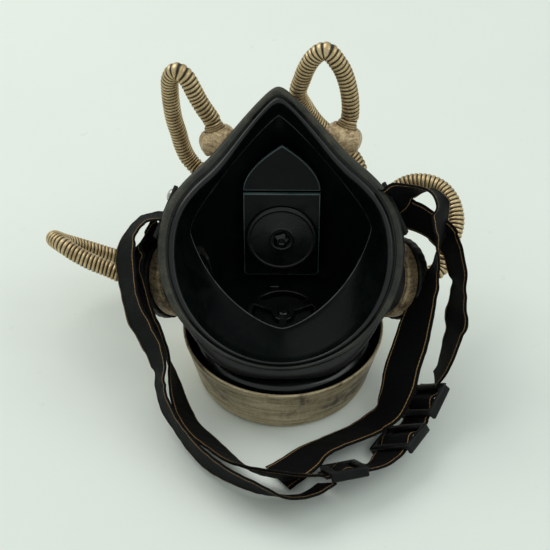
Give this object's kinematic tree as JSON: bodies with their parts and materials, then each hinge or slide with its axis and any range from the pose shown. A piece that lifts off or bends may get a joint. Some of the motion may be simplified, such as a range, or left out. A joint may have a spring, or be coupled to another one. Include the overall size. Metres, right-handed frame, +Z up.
{
  "type": "respirator costume mask",
  "caption": "Half-face steampunk plague mask with chin canister, side canisters, gooseneck hoses and elastic head straps.",
  "frame": {"origin": "centre of the chin canister's flat face, which lies on the table", "axes": "+Z up out of the canister towards the mask, +Y away from the wearer's side, +X towards the wearer-side right strap"},
  "size_m": [0.2122, 0.1691, 0.1588],
  "materials": {
    "antique_bronze": "brushed antique bronze paint with dark patina",
    "aged_brass": "aged gold with dark grooves",
    "seal_rubber": "semi-gloss black",
    "gloss_black": "glossy black moulded",
    "matt_black": "satin black moulded",
    "plated_steel": "tarnished nickel plate",
    "black_elastic": "woven elastic with two ochre stitch lines",
    "filter_felt": "white-grey felt"
  },
  "bodies": {
    "mask": {"mask_shell": "antique_bronze", "face_seal": "seal_rubber", "valve_panel_lower": "gloss_black", "valve_panel_upper": "gloss_black", "inhale_valve_stud": "gloss_black", "exhale_duct": "gloss_black", "chin_neck": "gloss_black", "chin_port_grille": "gloss_black", "front_hub_body": "antique_bronze", "front_hub_grille": "aged_brass", "front_hub_ring": "aged_brass", "hub_port_upper_left": "aged_brass", "hub_port_upper_right": "aged_brass", "hub_port_lower_left": "aged_brass", "hub_port_lower_right": "aged_brass", "hose_upper_left": "aged_brass", "hose_upper_right": "aged_brass", "hose_lower_left": "aged_brass", "hose_lower_right": "aged_brass", "nose_elbow_left": "antique_bronze", "nose_elbow_right": "antique_bronze", "nose_ferrule_left": "aged_brass", "nose_ferrule_right": "aged_brass", "side_canister_body_left": "antique_bronze", "side_canister_body_right": "antique_bronze", "side_collar_left": "gloss_black", "side_collar_right": "gloss_black", "side_filter_pad_left": "filter_felt", "side_filter_pad_right": "filter_felt", "side_hose_fitting_left": "aged_brass", "side_hose_fitting_right": "aged_brass", "strap_plate_left": "matt_black", "strap_plate_right": "matt_black", "strap_screw_left": "plated_steel", "strap_screw_right": "plated_steel", "strap_left_inner": "black_elastic", "strap_left_outer": "black_elastic", "strap_link": "black_elastic", "strap_right_lower": "black_elastic", "strap_right_upper": "black_elastic"},
    "chin_canister": {"chin_canister_cup": "antique_bronze", "chin_canister_face": "antique_bronze", "chin_canister_cover": "matt_black", "chin_filter_pad": "filter_felt"},
    "inhale_valve": {"inhale_valve_disc": "seal_rubber"},
    "chin_valve": {"chin_valve_flap": "seal_rubber"},
    "exhale_valve": {"exhale_valve_flap": "seal_rubber"},
    "side_cap_right": {"side_canister_cap_right": "matt_black"},
    "side_cap_left": {"side_canister_cap_left": "matt_black"},
    "nut_right": {"nose_nut_right": "antique_bronze"},
    "nut_left": {"nose_nut_left": "antique_bronze"},
    "slider_upper": {"slider_upper": "matt_black"},
    "slider_middle": {"slider_middle": "matt_black"},
    "slider_lower": {"slider_lower": "matt_black"}
  },
  "joints": [
    {"name": "chin_canister_twist", "type": "hinge", "parent": "mask", "child": "chin_canister", "pos_m": [0, 0, 0.025], "axis": [0, 0, 1], "range_deg": [-60, 0]},
    {"name": "inhale_valve_lift", "type": "slide", "parent": "mask", "child": "inhale_valve", "axis": [0, -0.9853, 0.1707], "range_m": [0, 0.0009], "stiffness_N_per_m": 40},
    {"name": "chin_valve_lift", "type": "slide", "parent": "mask", "child": "chin_valve", "axis": [0, 0, 1], "range_m": [0, 0.0006], "stiffness_N_per_m": 40},
    {"name": "exhale_valve_lift", "type": "slide", "parent": "mask", "child": "exhale_valve", "axis": [0, 0.9848, -0.174], "range_m": [0, 0.0012], "stiffness_N_per_m": 40},
    {"name": "side_cap_twist_right", "type": "hinge", "parent": "mask", "child": "side_cap_right", "pos_m": [0.056, 0.0082, 0.0525], "axis": [0.8481, 0.3811, -0.3681], "range_deg": [-45, 45]},
    {"name": "side_cap_twist_left", "type": "hinge", "parent": "mask", "child": "side_cap_left", "pos_m": [-0.056, 0.0082, 0.0525], "axis": [-0.8481, 0.3811, -0.3681], "range_deg": [-45, 45]},
    {"name": "nut_spin_right", "type": "hinge", "parent": "mask", "child": "nut_right", "pos_m": [0.0284, 0.047, 0.1098], "axis": [0.3005, 0.2805, 0.9116], "continuous": true},
    {"name": "nut_spin_left", "type": "hinge", "parent": "mask", "child": "nut_left", "pos_m": [-0.032, 0.047, 0.1078], "axis": [-0.3005, 0.2805, 0.9116], "continuous": true},
    {"name": "slider_upper_slide", "type": "slide", "parent": "mask", "child": "slider_upper", "axis": [-0.4577, -0.8201, -0.3433], "range_m": [-0.0015, 0.0008]},
    {"name": "slider_middle_slide", "type": "slide", "parent": "mask", "child": "slider_middle", "axis": [-0.5613, -0.8276, 0], "range_m": [-0.0015, 0.0015]},
    {"name": "slider_lower_slide", "type": "slide", "parent": "mask", "child": "slider_lower", "axis": [-0.9713, -0.2381, 0], "range_m": [-0.0015, 0.0008]}
  ]
}
